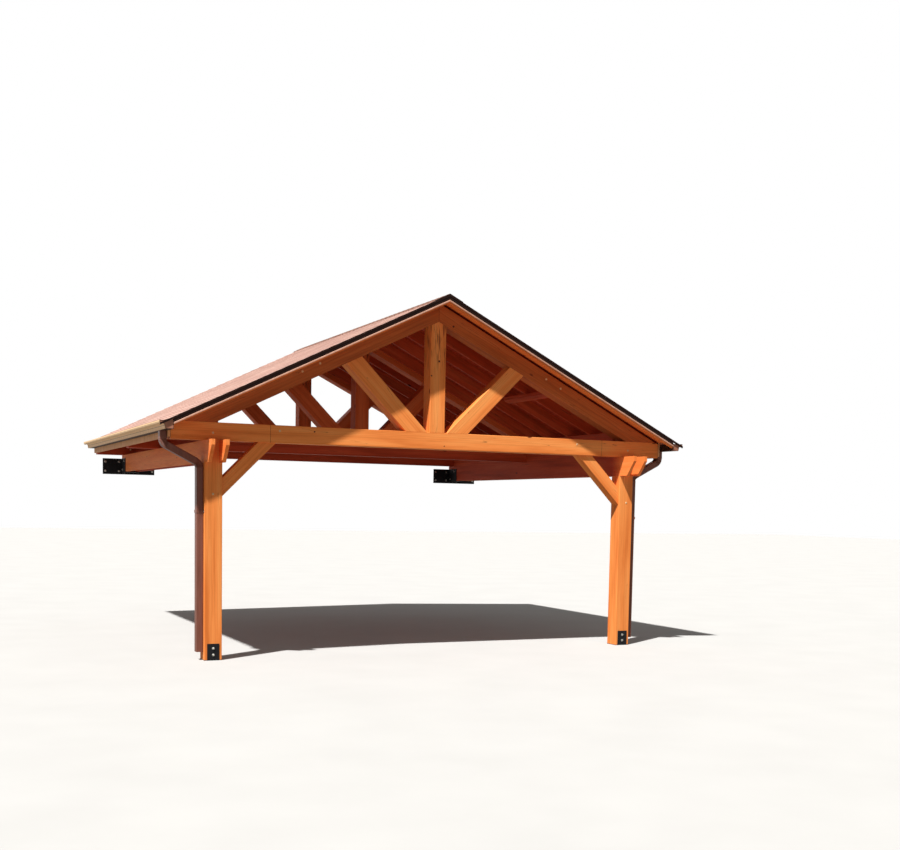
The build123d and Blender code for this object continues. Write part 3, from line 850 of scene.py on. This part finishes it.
strap_x = post_high.x + STRAP_T
strap_z = (strap_low.z + strap_high.z) / 2
strap_screws = [turned((strap_x, y, strap_z), (1, 0, 0), SMALL_SCREW, 12)
                for y in (strap_low.y + STRAP_SCREW_IN, strap_high.y - STRAP_SCREW_IN)]
piece("strap_screws", lofted(both_sides(strap_screws)), zinc)

pegs = []
for truss in TRUSSES:
    low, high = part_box(f"tie_{truss}")
    pegs += [turned((x, low.y, z), OUT, PEG, 16) for x, z in TRUSS_PEGS]
    if truss != "rear":
        pegs += [turned((x, high.y, z), IN, PEG, 16) for x, z in TRUSS_PEGS]
for y, axis in ((post_low.y, OUT), (post_high.y, IN)):
    pegs.append(turned((POST_PEG_X, y, POST_PEG_Z), axis, PEG, 16))
piece("joint_pegs", lofted(both_sides(pegs)), peg_wood)


# Seams where the front tie was pieced and its principals meet, drawn 3 mm wide to show, and knots


SEAM_W = 3 * MM
SEAM_PROUD = 0.4 * MM
SEAM_PLACES = (-1.976, 2.221)
KNOT_PROUD = 0.4 * MM
KNOT_SINK = 1 * MM
# Distance from the ridge, height and radius of each knot
KNOTS = ((0.011, 0.906, 12 * MM), (-0.082, 0.738, 9 * MM), (0.184, 1.312, 12 * MM),
         (-1.476, 0.042, 9 * MM), (0.093, -0.057, 7 * MM))


def seam(start, low, high):
    """A dark strip from a distance `start` on, between two heights, that just shows on all sides of its
    timber."""
    outline = [(start, low), (start + SEAM_W, low), (start + SEAM_W, high), (start, high)]
    return prism(outline, tie_low.y - SEAM_PROUD, tie_high.y + SEAM_PROUD)


seams = [seam(x, tie_low.z - SEAM_PROUD, tie_high.z) for x in SEAM_PLACES]
seams.append(seam(-SEAM_W / 2, king_high.z, principal_high.z - SEAM_W))
piece("timber_seams", lofted(seams), dark_grain)

knots = []
for x, z, radius in KNOTS:
    profile = [(radius, -KNOT_SINK), (radius, 0), (0.6 * radius, KNOT_PROUD)]
    knots.append(turned((x, tie_low.y, z), OUT, profile, 14))
piece("timber_knots", lofted(knots), dark_grain)


# Materials of the solids that stay in view


def paint(node_name, material):
    """Gives a solid of the frame its material."""
    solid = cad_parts[node_name]
    solid.data.materials.clear()
    solid.data.materials.append(material)


# The hearts lie a little off the timbers' middles, so that the rings come out as long flames
STRUT_GAP = 30 * MM
strut_foot = HALF + STRUT_GAP + TIMBER / sqrt(2)
principal_z = principal_high.z - HALF / SLOPE_COS
for i, truss in enumerate(TRUSSES):
    low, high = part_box(f"tie_{truss}")
    y = (low.y + high.y) / 2
    # Direction of the grain, heart, stain, shift between the sides, and where wear begins
    timbers = {
        f"tie_{truss}": (ALONG_X, (0.6 * i, y + 0.02, -0.03), FRAME_STAIN, None, None),
        f"king_post_{truss}": (ALONG_Z, (0.015, y - 0.02, 0), FRAME_STAIN, None, KING_WORN_FROM),
        f"struts_{truss}": (UP_STRUT, (strut_foot, y + 0.01, tie_high.z), FRAME_STAIN,
                            TRUSS_SIDE_SHIFT, None),
        f"principal_{truss}": (DOWN_SLOPE, (0, y - 0.015, principal_z), PRINCIPAL_STAIN_AND_SHADE,
                               TRUSS_SIDE_SHIFT, None),
    }
    for name, (turn, heart, stain, side_shift, worn_from) in timbers.items():
        # Timbers of the middle and rear trusses get stains darkened by painted shade
        if truss != "front":
            stain = INNER_STAIN_AND_SHADE if turn == ALONG_X else MIDDLE_STAIN_AND_SHADE
        cedar = stained_timber(f"cedar_stained_{name}", turn, heart, stain, side_shift,
                               worn_from=worn_from)
        for node_name in (name, f"{name}_left", f"{name}_right"):
            if node_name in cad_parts:
                paint(node_name, cedar)

post_heart = (POST_X + 0.02, POST_Y + 0.03, 0)
plate_heart = (POST_X, 0, plate_low.z - 0.05)
brace_heart = (post_low.x, POST_Y + 0.01, tie_low.z - 0.5)
rafter_heart = (0, 0.02, principal_high.z)
board_heart = (0.1, 0, 0.9)
post_cedar = stained_timber("cedar_stained_posts", ALONG_Z, post_heart, FRAME_STAIN, side_shift=0.8)
# Plates: the stain darkened by painted shade, with painted light outside the posts and in front of the
# front truss
plate_cedar = stained_timber("cedar_stained_plates_painted_light_and_shade", ALONG_Y, plate_heart, INNER_STAIN_AND_SHADE,
                             side_shift=1.1, outer=OUTER_STAIN_AND_LIGHT, outer_from=POST_X)
brace_cedar = stained_timber("cedar_stained_braces", DOWN_BRACE, brace_heart, FRAME_STAIN, side_shift=0.9)
# Rafters: the stain darkened by painted shade, painted light in front of the front truss, and a painted
# highlight on the lower arrises
rafter_cedar = stained_timber("cedar_stained_rafters_painted_light_and_shade", DOWN_SLOPE, rafter_heart, INNER_STAIN_AND_SHADE,
                              side_shift=1.3, outer=OUTER_STAIN_AND_LIGHT, edge=RAFTER_HIGHLIGHT_DEPTH)
# Edge boards: the stain darkened by painted shade
board_cedar = stained_timber("cedar_stained_edge_boards_painted_shade", ALONG_Y, board_heart, INNER_STAIN_AND_SHADE,
                             side_shift=0.7)
for material, node_names in (
        (post_cedar, ("post_left", "post_right")),
        (plate_cedar, ("plates_left", "plates_right")),
        (brace_cedar, ("knee_braces",)),
        (rafter_cedar, ("rafters_left", "rafters_right")),
        (board_cedar, ("ridge_board", "eave_boards", "stay_board")),
        (fascia_metal, ("fascia_left", "fascia_right")),
        (gutter_metal, ("gutter_left", "gutter_right")),
        (brown_metal, ("downspout_straps",)),
        (black_steel, ("wall_bracket_left", "wall_bracket_right", "post_bases"))):
    for node_name in node_names:
        paint(node_name, material)


# Studio: pale floor, white surroundings, a soft sun and the camera


FLOOR_REACH = 60.0
WORLD_LIGHT = 0.15
WHITE = (1.0, 1.0, 1.0, 1.0)
SUN_STRENGTH = 6.8
SUN_ANGLE = radians(1.5)
SUN_WAY = (0.449, 0.314, -0.836)
CAMERA_PLACE = (-5.6738, -17.6634, -0.7664)
CAMERA_YAW = 0.4365
CAMERA_PITCH = -0.077
CAMERA_ROLL = 0.018
CAMERA_REACH = 200.0
LENS = 47.66
SENSOR_W = 36.0
SHIFT_UP = 0.1944

# The camera sees the floor paler than the object does, so that little light comes up from it
floor_paint, floor_shader, floor_place = new_material("matt_studio_floor")
floor_mottle = node(floor_paint, "TexNoise", floor_place, Scale=1.2, Detail=3.0)
floor_tint = node(floor_paint, "ValToRGB", floor_mottle, stops=[(0.3, "#B7B5B1"), (0.7, "#BBB9B5")])
floor_sight = node(floor_paint, "LightPath", out="Is Camera Ray")
floor_colour = node(floor_paint, "Mix", floor_sight, linear("#827C75"), floor_tint, data_type="RGBA")
feed(floor_paint, floor_shader, Base_Color=floor_colour, Roughness=0.9)
floor_mesh = bpy.data.meshes.new("floor")
ways = ((-1, -1), (1, -1), (1, 1), (-1, 1))
floor_mesh.from_pydata([(x * FLOOR_REACH, y * FLOOR_REACH, GROUND) for x, y in ways], [], [(0, 1, 2, 3)])
floor_mesh.materials.append(floor_paint)
floor = bpy.data.objects.new("floor", floor_mesh)
bpy.context.scene.collection.objects.link(floor)

world = bpy.data.worlds.new("studio")
world.use_nodes = True
bpy.context.scene.world = world
lit = world.node_tree.nodes["Background"]
feed(world, lit, Color=WHITE, Strength=WORLD_LIGHT)
seen = node(world, "Background", Color=WHITE, Strength=1.0)
rays = node(world, "LightPath").node.outputs
shiny = node(world, "Math", rays["Is Glossy Ray"], rays["Is Transmission Ray"], operation="MAXIMUM")
in_sight = node(world, "Math", rays["Is Camera Ray"], shiny, operation="MAXIMUM")
surroundings = node(world, "MixShader", in_sight, lit.outputs[0], seen)
feed(world, world.node_tree.nodes["World Output"], Surface=surroundings)

sun_data = bpy.data.lights.new("sun", "SUN")
sun_data.energy = SUN_STRENGTH
sun_data.angle = SUN_ANGLE
sun = bpy.data.objects.new("sun", sun_data)
sun.rotation_euler = Vector((0, 0, -1)).rotation_difference(Vector(SUN_WAY)).to_euler()
bpy.context.scene.collection.objects.link(sun)

level = Vector((cos(CAMERA_YAW), -sin(CAMERA_YAW), 0))
onward = Vector((sin(CAMERA_YAW), cos(CAMERA_YAW), 0))
forward = cos(CAMERA_PITCH) * onward + Vector((0, 0, sin(CAMERA_PITCH)))
upright = level.cross(forward)
right = cos(CAMERA_ROLL) * level + sin(CAMERA_ROLL) * upright
up = cos(CAMERA_ROLL) * upright - sin(CAMERA_ROLL) * level
camera_data = bpy.data.cameras.new("camera")
camera_data.lens = LENS
camera_data.sensor_width = SENSOR_W
camera_data.shift_y = SHIFT_UP
camera_data.clip_end = CAMERA_REACH
camera = bpy.data.objects.new("camera", camera_data)
turned_way = Matrix((right, up, -forward)).transposed().to_4x4()
camera.matrix_world = Matrix.Translation(CAMERA_PLACE) @ turned_way
bpy.context.scene.collection.objects.link(camera)
bpy.context.scene.camera = camera
bpy.context.scene.view_settings.view_transform = "Standard"
